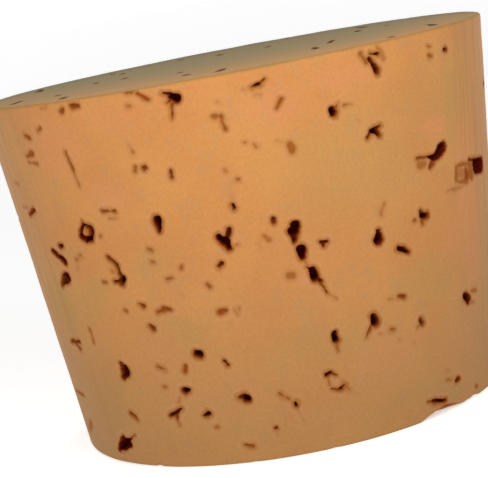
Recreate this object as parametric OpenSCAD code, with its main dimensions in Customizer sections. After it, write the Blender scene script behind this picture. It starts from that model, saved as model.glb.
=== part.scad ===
// Tapered stopper of natural cork, standing on its narrow end.
// Millimetres and degrees. The origin is the centre of the narrow end and +Z points to the wide end.
// Angles go round the axis from the front (-Y) towards +X.

/* [Body] */
// Diameter of the wide end
top_d = 54; // [48:0.5:60]
// Diameter of the narrow end
bottom_d = 46; // [40:0.5:47]
// Length from end to end
length = 38.1; // [28:0.1:50]
// Radius that softens both rims
rim_r = 0.3; // [0.2:0.1:1.2]

/* [Pores] */
// Depth of a fully open pore
pore_depth = 1.4; // [0.6:0.1:2.4]
// How ragged a pore's outline is, as a share of its width
ragged = 0.18; // [0:0.02:0.3]
// Number of pores round the back and the flanks
back_pores = 44; // [0:1:60]
// Number of pores in the wide end
top_pores = 22; // [0:1:36]
// Number of pores in the narrow end
bottom_pores = 18; // [0:1:30]

/* [Chip] */
// Angle of the chip in the narrow end's rim
chip_angle = 40.5; // [0:0.5:359]
// How far the chip reaches in from the corner
chip_w = 1.6; // [0.8:0.1:2]
// How far the chip reaches up the wall
chip_h = 1; // [0.4:0.1:1.5]
// Angle from the chip's middle to where it runs out on either side
chip_half = 10; // [6:0.5:14]

/* [Hidden] */

cork = "#CB9059";
// Straight steps round the whole body, across a rim and round a pore's outline
round_steps = 180;
rim_steps = 3;
outline_points = 10;
// How far a cutting shape reaches out of the body
air = 1;
// A pore's depth falls off with this power of its share, so that only the boldest pores are deep
depth_power = 3;
// How many times its own size the chip's cutting shape goes on past the chip
chip_reach = 3;

// The length that the listed heights were measured on: another length spreads the pores with it
listed_length = 38.1;

// Pores of the front. Each line is one stroke of a pore, from one end to the other:
// angle, height, width, angle, height, width, share
front_pores = [
    // below the wide rim
    [-35.3, 37.4, 0.5, -33.6, 37.4, 0.55, 0.6],
    [-38.4, 37.0, 0.5, -37.8, 37.2, 0.5, 0.55],
    [-12.5, 36.8, 0.95, -11.7, 36.6, 1.1, 1.0],
    [-12.9, 37.05, 0.8, -13.9, 37.25, 0.4, 0.8],
    [-12.9, 36.5, 0.7, -13.8, 36.3, 0.4, 0.7],
    [-12.8, 36.2, 0.6, -13.4, 34.8, 0.35, 0.6],
    [3.4, 36.35, 0.4, 4.8, 36.5, 0.55, 0.8],
    [4.8, 36.5, 0.45, 6.2, 36.9, 0.25, 0.6],
    [28.8, 36.8, 0.5, 29.7, 35.9, 0.55, 0.85],
    [29.7, 35.9, 0.55, 30.4, 35.2, 0.65, 1.0],
    [29.0, 37.1, 0.45, 31.0, 36.95, 0.4, 0.8],
    [50.7, 35.8, 0.45, 51.5, 35.75, 0.45, 0.8],
    [-47.2, 35.5, 0.45, -46.2, 35.7, 0.45, 0.5],
    [-52.6, 35.1, 0.5, -51.0, 34.8, 0.65, 0.5],
    [-54.3, 33.0, 0.6, -51.6, 33.3, 0.6, 0.5],
    // upper third
    [19.0, 32.7, 0.8, 19.2, 32.4, 0.85, 1.0],
    [19.8, 32.9, 0.4, 20.3, 33.3, 0.25, 0.6],
    [-40.4, 33.1, 0.45, -39.2, 29.6, 0.35, 0.5],
    [-21.9, 30.6, 0.6, -21.4, 30.7, 0.6, 0.6],
    [-16.3, 30.0, 0.4, -16.2, 29.4, 0.6, 0.6],
    [27.0, 29.95, 0.5, 28.2, 29.9, 0.75, 1.0],
    [28.3, 30.0, 0.5, 29.5, 30.25, 0.35, 0.8],
    [28.4, 29.8, 0.6, 29.1, 29.3, 0.45, 0.9],
    [27.0, 29.85, 0.5, 26.1, 29.4, 0.4, 0.8],
    [-62.8, 26.9, 0.5, -59.2, 27.4, 0.5, 0.7],
    [-34.8, 26.9, 0.4, -31.5, 26.8, 0.4, 0.55],
    [47.5, 26.5, 1.15, 46.6, 26.4, 1.2, 1.0],
    [46.6, 26.2, 1.1, 44.3, 25.8, 0.8, 1.0],
    [44.5, 25.8, 0.8, 42.6, 25.9, 0.5, 0.85],
    [43.5, 25.4, 0.8, 42.2, 25.0, 0.6, 0.65],
    [42.5, 26.0, 0.5, 38.5, 26.2, 0.5, 0.55],
    [-4.8, 25.8, 0.5, -4.7, 25.5, 0.6, 0.75],
    // the ragged ring on the left, open round a spur that still stands
    [-43.1, 24.6, 0.6, -41.9, 24.2, 0.8, 1.0],
    [-41.9, 24.2, 0.8, -40.2, 24.3, 0.7, 1.0],
    [-40.0, 24.4, 0.7, -39.2, 25.2, 0.7, 1.0],
    [-39.3, 25.3, 0.6, -41.2, 25.8, 0.5, 0.95],
    [-41.4, 25.9, 0.5, -42.9, 24.9, 0.5, 0.9],
    // the long hollow on the right
    [62.4, 23.2, 1.7, 67.0, 23.1, 1.5, 1.0],
    [58.6, 24.2, 0.4, 62.0, 24.0, 0.5, 0.65],
    [57.0, 23.0, 0.55, 57.6, 22.8, 0.6, 0.55],
    // middle
    [-21.8, 25.5, 1.1, -22.1, 24.3, 0.5, 1.0],
    [-52.3, 23.6, 0.55, -51.1, 23.7, 0.6, 0.9],
    [-56.2, 23.0, 0.6, -52.0, 22.0, 0.85, 1.0],
    [2.95, 23.75, 0.55, 2.95, 23.5, 0.6, 0.7],
    [-9.0, 22.9, 0.8, -7.9, 22.4, 1.1, 1.0],
    [-8.0, 22.5, 1.0, -7.6, 21.7, 0.7, 1.0],
    [-7.4, 22.9, 0.7, -6.6, 23.6, 0.5, 0.8],
    [7.2, 22.7, 1.0, 6.6, 22.2, 1.1, 1.0],
    [6.6, 22.1, 0.9, 6.6, 21.2, 0.45, 0.9],
    [7.7, 20.3, 1.15, 7.7, 19.6, 0.7, 1.0],
    [12.2, 20.6, 0.5, 13.4, 20.6, 0.5, 0.75],
    [12.8, 20.5, 0.6, 12.7, 20.15, 0.4, 0.75],
    [-36.8, 22.3, 0.45, -35.2, 21.6, 0.5, 0.7],
    [-35.2, 21.6, 0.5, -34.6, 21.1, 0.55, 0.85],
    [-34.6, 21.1, 0.5, -34.6, 20.4, 0.5, 0.85],
    [-34.0, 20.1, 0.6, -35.0, 19.65, 0.85, 1.0],
    [-35.6, 19.7, 0.6, -36.8, 19.8, 0.45, 0.75],
    [-57.0, 19.3, 0.5, -54.6, 20.1, 1.2, 0.8],
    [-54.4, 20.1, 1.25, -53.2, 20.3, 1.3, 1.0],
    [-10.5, 20.2, 0.5, -9.8, 20.4, 0.6, 0.7],
    [38.3, 20.6, 0.8, 39.4, 20.4, 0.7, 0.75],
    [39.5, 20.4, 0.7, 39.9, 20.4, 0.75, 1.0],
    [38.0, 21.0, 0.5, 38.3, 20.4, 0.6, 0.6],
    [38.3, 20.2, 0.6, 38.3, 19.7, 0.5, 0.6],
    [25.75, 20.3, 0.5, 25.5, 19.5, 1.2, 1.0],
    [9.3, 18.1, 0.95, 9.7, 17.4, 0.95, 1.0],
    [10.0, 17.2, 0.5, 10.9, 16.9, 0.4, 0.8],
    [8.8, 18.3, 0.5, 8.4, 18.5, 0.4, 0.8],
    [10.7, 16.8, 0.4, 11.9, 15.6, 0.35, 0.6],
    [30.6, 18.1, 0.6, 32.1, 17.85, 0.75, 0.95],
    [32.1, 17.85, 0.7, 33.2, 17.4, 0.5, 0.95],
    // lower third
    [-31.6, 17.4, 0.45, -30.4, 17.1, 0.55, 0.6],
    [-30.1, 15.0, 0.65, -29.6, 14.75, 0.7, 0.65],
    [-62.5, 13.0, 0.35, -60.0, 13.1, 0.7, 0.6],
    [-60.0, 13.1, 0.7, -57.2, 13.2, 0.45, 0.65],
    [29.4, 13.45, 0.5, 30.6, 13.2, 0.55, 0.6],
    [22.0, 12.2, 0.9, 22.3, 11.6, 1.0, 1.0],
    [21.3, 11.3, 0.5, 19.5, 10.4, 0.4, 0.55],
    [-20.3, 11.8, 0.85, -19.6, 11.7, 0.9, 0.95],
    [12.1, 11.55, 0.6, 12.2, 10.85, 0.75, 1.0],
    [-42.4, 11.2, 0.5, -41.7, 10.6, 1.0, 0.9],
    [-41.6, 10.5, 1.2, -41.4, 10.3, 1.15, 1.0],
    [-42.0, 10.1, 1.0, -42.8, 9.7, 0.6, 0.9],
    [51.9, 10.8, 1.0, 53.0, 10.4, 1.0, 0.95],
    [-14.0, 10.8, 0.5, -13.4, 10.4, 0.6, 0.85],
    [-30.7, 10.7, 0.4, -29.7, 10.55, 0.5, 0.6],
    [34.6, 10.4, 0.6, 35.1, 10.0, 0.65, 0.7],
    [-25.4, 8.15, 0.8, -24.8, 8.15, 0.75, 1.0],
    [8.8, 7.6, 0.55, 9.7, 7.7, 0.6, 0.8],
    [9.7, 7.7, 0.5, 11.0, 7.35, 0.4, 0.6],
    [11.6, 6.0, 0.5, 12.3, 6.2, 0.55, 0.8],
    [11.1, 5.8, 0.35, 9.5, 6.1, 0.3, 0.55],
    [-12.0, 6.9, 0.8, -11.3, 6.9, 0.9, 0.75],
    [-11.0, 6.7, 0.9, -10.7, 6.7, 0.9, 1.0],
    [-31.4, 5.6, 0.5, -29.6, 5.8, 0.6, 0.85],
    [-29.6, 5.8, 0.6, -27.8, 6.3, 0.4, 0.8],
    [-29.7, 5.5, 0.6, -29.5, 4.7, 0.3, 0.7],
    [-22.2, 5.4, 0.45, -20.9, 5.6, 0.75, 0.9],
    [-44.0, 5.75, 0.6, -42.6, 5.45, 0.6, 0.65],
    [0.25, 5.5, 0.55, 0.4, 5.2, 0.55, 0.9],
    // above the narrow rim
    [-5.6, 3.2, 0.5, -5.2, 3.2, 0.5, 0.6],
    [44.9, 2.8, 0.55, 45.8, 2.9, 0.6, 0.8],
    [-53.4, 1.4, 0.6, -50.3, 2.3, 1.5, 1.0],
    [-50.2, 2.3, 1.4, -48.3, 2.4, 1.0, 1.0],
    [-49.8, 2.8, 0.8, -49.8, 3.2, 0.4, 0.9],
    [-48.4, 2.6, 0.7, -44.8, 3.4, 0.25, 0.6],
    [-13.6, 2.0, 0.35, -11.7, 1.8, 0.5, 0.55],
    [34.5, 1.9, 0.4, 36.5, 1.75, 0.6, 0.55],
    [36.5, 1.7, 0.6, 38.6, 1.45, 0.7, 0.8],
    [38.6, 1.45, 0.65, 40.0, 1.35, 0.55, 1.0],
];

// Where the generated pores of the back and the flanks begin and end, and the bare margin at the rims
back_from = 76;
back_to = 284;
rim_margin = 2;
// Steps of an even spread over two directions, and how much chance adds to each
spread_u = 0.7549;
spread_v = 0.5698;
jitter_u = 0.1;
jitter_v = 0.2;
// Narrowest and widest generated pore, least and most of its width at its far end, and its share
pore_w = [0.5, 1.1];
pore_taper = [0.5, 1];
pore_share = [0.6, 1];
// A pore's length in widths where a channel comes straight out, and the longest that it gets where channels
// run along the surface
pore_l = [0.2, 1.2];
channel_l = 5;
least_slope = 0.15;
// Shortest and longest slit in an end, its widths, its narrower end, and how far it may lean off the channels
slit_l = [0.8, 4.5];
slit_w = [0.35, 0.75];
slit_taper = 0.6;
slit_lean = 10;
// Share of its length that a slit keeps at the rim, and the bare middle that each end keeps
rim_slit = 0.3;
bare_r = 4;
// Where the chances of each group of pores start
back_seed = 100;
top_seed = 200;
bottom_seed = 300;

// Radius of the tapered wall at a height
function wall_r(z) = (bottom_d + (top_d - bottom_d) * z / length) / 2;

// An even but irregular number from 0 to 1 for each pair of whole numbers
function chance(i, k) = let (v = sin(i * 78.233 + k * 37.719) * 4375.85) v - floor(v);

function part_of(x) = x - floor(x);
function between(range, share) = range[0] + (range[1] - range[0]) * share;
function arc_length(angle, r) = angle * PI / 180 * r;

// Depth of a pore with a given share
function depth_of(share) = pore_depth * pow(share, depth_power);

// Outline of one stroke: a ragged ring of points round two ends of different width
function outline(p, q, w_p, w_q, seed) = [
    for (k = [0:outline_points - 1])
        let (
            turn = 360 * k / outline_points,
            dir = [cos(turn), sin(turn)],
            at_q = dir * (q - p) > 0,
            r = (at_q ? w_q : w_p) / 2 * (1 + ragged * (2 * chance(seed, k) - 1))
        )
        (at_q ? q : p) + r * dir
];

// Outline of the body from the axis outwards, with both rims rounded
function body_outline() =
    let (
        taper = atan2((top_d - bottom_d) / 2, length),
        low = [bottom_d / 2 - rim_r / cos(taper) + rim_r * tan(taper), rim_r],
        high = [top_d / 2 - rim_r / cos(taper) - rim_r * tan(taper), length - rim_r],
        low_turn = 90 - taper,
        high_turn = 90 + taper
    )
    concat(
        [[0, 0]],
        [for (i = [0:rim_steps]) let (a = -90 + low_turn * i / rim_steps) low + rim_r * [cos(a), sin(a)]],
        [for (i = [rim_steps:-1:0]) let (a = 90 - high_turn * i / rim_steps) high + rim_r * [cos(a), sin(a)]],
        [[0, length]]
    );

// A pit of the given outline, sunk straight into the wall at an angle and a height
module wall_pit(angle, z, depth, points) {
    rotate([0, 0, angle])
        translate([0, -(wall_r(z) - depth), z])
            rotate([90, 0, 0])
                linear_extrude(height = depth + air)
                    polygon(points);
}

// One stroke of a pore in the wall, from one angle and height to another
module wall_stroke(a_p, z_p, w_p, a_q, z_q, w_q, depth, seed) {
    a = (a_p + a_q) / 2;
    z = (z_p + z_q) / 2;
    p = [arc_length(a_p - a, wall_r(z)), z_p - z];
    q = [arc_length(a_q - a, wall_r(z)), z_q - z];
    wall_pit(a, z, depth, outline(p, q, w_p, w_q, seed));
}

module listed_pores() {
    for (i = [0:len(front_pores) - 1]) {
        s = front_pores[i];
        stretch = length / listed_length;
        wall_stroke(s[0], s[1] * stretch, s[2], s[3], s[4] * stretch, s[5], depth_of(s[6]), i);
    }
}

// The cork's channels run from front to back, so a pore is a dot at the back and long on the flanks
module generated_pores() {
    for (i = [0:1:back_pores - 1]) {
        a = between([back_from, back_to], part_of(spread_u * i + jitter_u * chance(i, 1)));
        z = between([rim_margin, length - rim_margin], part_of(spread_v * i + jitter_v * chance(i, 2)));
        w = between(pore_w, pow(chance(i, 3), 2));
        l = min(channel_l, w * between(pore_l, chance(i, 4)) / max(abs(cos(a)), least_slope));
        half = l / 2 / arc_length(1, wall_r(z));
        rise = w * (chance(i, 5) - 0.5);
        wall_stroke(a - half, z - rise, w, a + half, z + rise, w * between(pore_taper, chance(i, 6)),
            depth_of(between(pore_share, chance(i, 7))), i + back_seed);
    }
}

// Slits in an end, cut upwards from a height: they follow the channels
module end_slits(count, d, z, seed) {
    for (i = [1:1:count]) {
        r = between([bare_r, d / 2 - rim_margin], sqrt(part_of(spread_u * i + jitter_u * chance(i, seed))));
        turn = 360 * part_of(spread_v * i + jitter_v * chance(i, seed + 1));
        l = between(slit_l, pow(chance(i, seed + 2), 2)) * min(1, (d / 2 - r) / slit_l[1] + rim_slit);
        w = between(slit_w, chance(i, seed + 3));
        lean = between([-slit_lean, slit_lean], chance(i, seed + 4));
        translate([r * sin(turn), -r * cos(turn), z])
            rotate([0, 0, lean])
                linear_extrude(height = pore_depth + air)
                    polygon(outline([0, -l / 2], [0, l / 2], w, w * slit_taper, i + seed));
    }
}

// A break across the narrow end's rim: two flat facets that meet in a crease, from a foot in the end to a
// head on the wall
module rim_chip() {
    rim = bottom_d / 2;
    foot = [0, chip_w - rim, 0];
    head = [0, -wall_r(chip_h), chip_h];
    middle = (foot + head) / 2;
    side = [rim * sin(chip_half), -rim * cos(chip_half), 0];
    right = middle + chip_reach * (side - middle);
    points = [
        foot - (head - foot),
        foot + chip_reach * (head - foot),
        [-right[0], right[1], right[2]],
        right,
        [0, -rim - chip_reach, -chip_reach]
    ];
    rotate([0, 0, chip_angle])
        polyhedron(points, faces = [[0, 1, 2], [1, 0, 3], [0, 2, 4], [2, 1, 4], [3, 0, 4], [1, 3, 4]]);
}

module stopper() {
    color(cork)
        difference() {
            rotate_extrude($fn = round_steps) polygon(body_outline());
            listed_pores();
            generated_pores();
            end_slits(top_pores, top_d, length - pore_depth, top_seed);
            end_slits(bottom_pores, bottom_d, -air, bottom_seed);
            rim_chip();
        }
}

stopper();
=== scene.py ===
"""A tapered stopper of natural cork on a pale floor.

The body, its open pores, its chip and its knocks are one closed mesh, which replaces the plain solid. Shapes
are worked out in millimetres and turned into metres when the mesh is made. Angles go round the axis from the
front (-Y) towards +X.
"""
import itertools
import math

import bpy
import numpy as np
from mathutils import Matrix, Vector
from mathutils.geometry import delaunay_2d_cdt


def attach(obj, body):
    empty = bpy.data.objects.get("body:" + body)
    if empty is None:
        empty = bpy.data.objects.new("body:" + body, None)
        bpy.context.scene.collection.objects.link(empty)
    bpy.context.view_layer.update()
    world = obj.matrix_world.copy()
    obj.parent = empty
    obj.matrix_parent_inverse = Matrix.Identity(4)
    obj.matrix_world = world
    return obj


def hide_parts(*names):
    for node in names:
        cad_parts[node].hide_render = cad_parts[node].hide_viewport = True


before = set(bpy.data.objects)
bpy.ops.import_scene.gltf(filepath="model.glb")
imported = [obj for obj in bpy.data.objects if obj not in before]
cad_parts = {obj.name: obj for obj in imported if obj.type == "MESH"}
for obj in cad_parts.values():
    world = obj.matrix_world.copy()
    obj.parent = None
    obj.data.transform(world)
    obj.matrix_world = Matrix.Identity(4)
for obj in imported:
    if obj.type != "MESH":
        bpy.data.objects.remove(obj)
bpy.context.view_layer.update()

MM = 0.001

# ---------------- sizes, as in the part's source

# Radius of each end, the length, and the radius that softens both rims
TOP_R, BOTTOM_R = 27.0, 23.0
LENGTH = 38.1
RIM_R = 0.3
# Depth of a fully open pore and of the darkest mark. A pore's depth falls off with this power of its share
PORE_DEPTH, MARK_DEPTH = 1.4, 0.25
DEPTH_POWER = 3
# Number of pores and of marks round the back and the flanks, and of pores in each end
BACK_PORES, BACK_MARKS = 44, 40
TOP_PORES, BOTTOM_PORES = 22, 18

# Pores of the front. Each line is one stroke of a pore, from one end to the other:
# angle, height, width, angle, height, width, share, which sets how deep and dark it is
FRONT_PORES = [
    # below the wide rim
    (-35.3, 37.4, 0.5, -33.6, 37.4, 0.55, 0.6),
    (-38.4, 37.0, 0.5, -37.8, 37.2, 0.5, 0.55),
    (-12.5, 36.8, 0.95, -11.7, 36.6, 1.1, 1.0),
    (-12.9, 37.05, 0.8, -13.9, 37.25, 0.4, 0.8),
    (-12.9, 36.5, 0.7, -13.8, 36.3, 0.4, 0.7),
    (-12.8, 36.2, 0.6, -13.4, 34.8, 0.35, 0.6),
    (3.4, 36.35, 0.4, 4.8, 36.5, 0.55, 0.8),
    (4.8, 36.5, 0.45, 6.2, 36.9, 0.25, 0.6),
    (28.8, 36.8, 0.5, 29.7, 35.9, 0.55, 0.85),
    (29.7, 35.9, 0.55, 30.4, 35.2, 0.65, 1.0),
    (29.0, 37.1, 0.45, 31.0, 36.95, 0.4, 0.8),
    (50.7, 35.8, 0.45, 51.5, 35.75, 0.45, 0.8),
    (-47.2, 35.5, 0.45, -46.2, 35.7, 0.45, 0.5),
    (-52.6, 35.1, 0.5, -51.0, 34.8, 0.65, 0.5),
    (-54.3, 33.0, 0.6, -51.6, 33.3, 0.6, 0.5),
    # upper third
    (19.0, 32.7, 0.8, 19.2, 32.4, 0.85, 1.0),
    (19.8, 32.9, 0.4, 20.3, 33.3, 0.25, 0.6),
    (-40.4, 33.1, 0.45, -39.2, 29.6, 0.35, 0.5),
    (-21.9, 30.6, 0.6, -21.4, 30.7, 0.6, 0.6),
    (-16.3, 30.0, 0.4, -16.2, 29.4, 0.6, 0.6),
    (27.0, 29.95, 0.5, 28.2, 29.9, 0.75, 1.0),
    (28.3, 30.0, 0.5, 29.5, 30.25, 0.35, 0.8),
    (28.4, 29.8, 0.6, 29.1, 29.3, 0.45, 0.9),
    (27.0, 29.85, 0.5, 26.1, 29.4, 0.4, 0.8),
    (-62.8, 26.9, 0.5, -59.2, 27.4, 0.5, 0.7),
    (-34.8, 26.9, 0.4, -31.5, 26.8, 0.4, 0.55),
    (47.5, 26.5, 1.15, 46.6, 26.4, 1.2, 1.0),
    (46.6, 26.2, 1.1, 44.3, 25.8, 0.8, 1.0),
    (44.5, 25.8, 0.8, 42.6, 25.9, 0.5, 0.85),
    (43.5, 25.4, 0.8, 42.2, 25.0, 0.6, 0.65),
    (42.5, 26.0, 0.5, 38.5, 26.2, 0.5, 0.55),
    (-4.8, 25.8, 0.5, -4.7, 25.5, 0.6, 0.75),
    # the ragged ring on the left, open round a spur that still stands
    (-43.1, 24.6, 0.6, -41.9, 24.2, 0.8, 1.0),
    (-41.9, 24.2, 0.8, -40.2, 24.3, 0.7, 1.0),
    (-40.0, 24.4, 0.7, -39.2, 25.2, 0.7, 1.0),
    (-39.3, 25.3, 0.6, -41.2, 25.8, 0.5, 0.95),
    (-41.4, 25.9, 0.5, -42.9, 24.9, 0.5, 0.9),
    # the long hollow on the right
    (62.4, 23.2, 1.7, 67.0, 23.1, 1.5, 1.0),
    (58.6, 24.2, 0.4, 62.0, 24.0, 0.5, 0.65),
    (57.0, 23.0, 0.55, 57.6, 22.8, 0.6, 0.55),
    # middle
    (-21.8, 25.5, 1.1, -22.1, 24.3, 0.5, 1.0),
    (-52.3, 23.6, 0.55, -51.1, 23.7, 0.6, 0.9),
    (-56.2, 23.0, 0.6, -52.0, 22.0, 0.85, 1.0),
    (2.95, 23.75, 0.55, 2.95, 23.5, 0.6, 0.7),
    (-9.0, 22.9, 0.8, -7.9, 22.4, 1.1, 1.0),
    (-8.0, 22.5, 1.0, -7.6, 21.7, 0.7, 1.0),
    (-7.4, 22.9, 0.7, -6.6, 23.6, 0.5, 0.8),
    (7.2, 22.7, 1.0, 6.6, 22.2, 1.1, 1.0),
    (6.6, 22.1, 0.9, 6.6, 21.2, 0.45, 0.9),
    (7.7, 20.3, 1.15, 7.7, 19.6, 0.7, 1.0),
    (12.2, 20.6, 0.5, 13.4, 20.6, 0.5, 0.75),
    (12.8, 20.5, 0.6, 12.7, 20.15, 0.4, 0.75),
    (-36.8, 22.3, 0.45, -35.2, 21.6, 0.5, 0.7),
    (-35.2, 21.6, 0.5, -34.6, 21.1, 0.55, 0.85),
    (-34.6, 21.1, 0.5, -34.6, 20.4, 0.5, 0.85),
    (-34.0, 20.1, 0.6, -35.0, 19.65, 0.85, 1.0),
    (-35.6, 19.7, 0.6, -36.8, 19.8, 0.45, 0.75),
    (-57.0, 19.3, 0.5, -54.6, 20.1, 1.2, 0.8),
    (-54.4, 20.1, 1.25, -53.2, 20.3, 1.3, 1.0),
    (-10.5, 20.2, 0.5, -9.8, 20.4, 0.6, 0.7),
    (38.3, 20.6, 0.8, 39.4, 20.4, 0.7, 0.75),
    (39.5, 20.4, 0.7, 39.9, 20.4, 0.75, 1.0),
    (38.0, 21.0, 0.5, 38.3, 20.4, 0.6, 0.6),
    (38.3, 20.2, 0.6, 38.3, 19.7, 0.5, 0.6),
    (25.75, 20.3, 0.5, 25.5, 19.5, 1.2, 1.0),
    (9.3, 18.1, 0.95, 9.7, 17.4, 0.95, 1.0),
    (10.0, 17.2, 0.5, 10.9, 16.9, 0.4, 0.8),
    (8.8, 18.3, 0.5, 8.4, 18.5, 0.4, 0.8),
    (10.7, 16.8, 0.4, 11.9, 15.6, 0.35, 0.6),
    (30.6, 18.1, 0.6, 32.1, 17.85, 0.75, 0.95),
    (32.1, 17.85, 0.7, 33.2, 17.4, 0.5, 0.95),
    # lower third
    (-31.6, 17.4, 0.45, -30.4, 17.1, 0.55, 0.6),
    (-30.1, 15.0, 0.65, -29.6, 14.75, 0.7, 0.65),
    (-62.5, 13.0, 0.35, -60.0, 13.1, 0.7, 0.6),
    (-60.0, 13.1, 0.7, -57.2, 13.2, 0.45, 0.65),
    (29.4, 13.45, 0.5, 30.6, 13.2, 0.55, 0.6),
    (22.0, 12.2, 0.9, 22.3, 11.6, 1.0, 1.0),
    (21.3, 11.3, 0.5, 19.5, 10.4, 0.4, 0.55),
    (-20.3, 11.8, 0.85, -19.6, 11.7, 0.9, 0.95),
    (12.1, 11.55, 0.6, 12.2, 10.85, 0.75, 1.0),
    (-42.4, 11.2, 0.5, -41.7, 10.6, 1.0, 0.9),
    (-41.6, 10.5, 1.2, -41.4, 10.3, 1.15, 1.0),
    (-42.0, 10.1, 1.0, -42.8, 9.7, 0.6, 0.9),
    (51.9, 10.8, 1.0, 53.0, 10.4, 1.0, 0.95),
    (-14.0, 10.8, 0.5, -13.4, 10.4, 0.6, 0.85),
    (-30.7, 10.7, 0.4, -29.7, 10.55, 0.5, 0.6),
    (34.6, 10.4, 0.6, 35.1, 10.0, 0.65, 0.7),
    (-25.4, 8.15, 0.8, -24.8, 8.15, 0.75, 1.0),
    (8.8, 7.6, 0.55, 9.7, 7.7, 0.6, 0.8),
    (9.7, 7.7, 0.5, 11.0, 7.35, 0.4, 0.6),
    (11.6, 6.0, 0.5, 12.3, 6.2, 0.55, 0.8),
    (11.1, 5.8, 0.35, 9.5, 6.1, 0.3, 0.55),
    (-12.0, 6.9, 0.8, -11.3, 6.9, 0.9, 0.75),
    (-11.0, 6.7, 0.9, -10.7, 6.7, 0.9, 1.0),
    (-31.4, 5.6, 0.5, -29.6, 5.8, 0.6, 0.85),
    (-29.6, 5.8, 0.6, -27.8, 6.3, 0.4, 0.8),
    (-29.7, 5.5, 0.6, -29.5, 4.7, 0.3, 0.7),
    (-22.2, 5.4, 0.45, -20.9, 5.6, 0.75, 0.9),
    (-44.0, 5.75, 0.6, -42.6, 5.45, 0.6, 0.65),
    (0.25, 5.5, 0.55, 0.4, 5.2, 0.55, 0.9),
    # above the narrow rim
    (-5.6, 3.2, 0.5, -5.2, 3.2, 0.5, 0.6),
    (44.9, 2.8, 0.55, 45.8, 2.9, 0.6, 0.8),
    (-53.4, 1.4, 0.6, -50.3, 2.3, 1.5, 1.0),
    (-50.2, 2.3, 1.4, -48.3, 2.4, 1.0, 1.0),
    (-49.8, 2.8, 0.8, -49.8, 3.2, 0.4, 0.9),
    (-48.4, 2.6, 0.7, -44.8, 3.4, 0.25, 0.6),
    (-13.6, 2.0, 0.35, -11.7, 1.8, 0.5, 0.55),
    (34.5, 1.9, 0.4, 36.5, 1.75, 0.6, 0.55),
    (36.5, 1.7, 0.6, 38.6, 1.45, 0.7, 0.8),
    (38.6, 1.45, 0.65, 40.0, 1.35, 0.55, 1.0),
]

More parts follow.
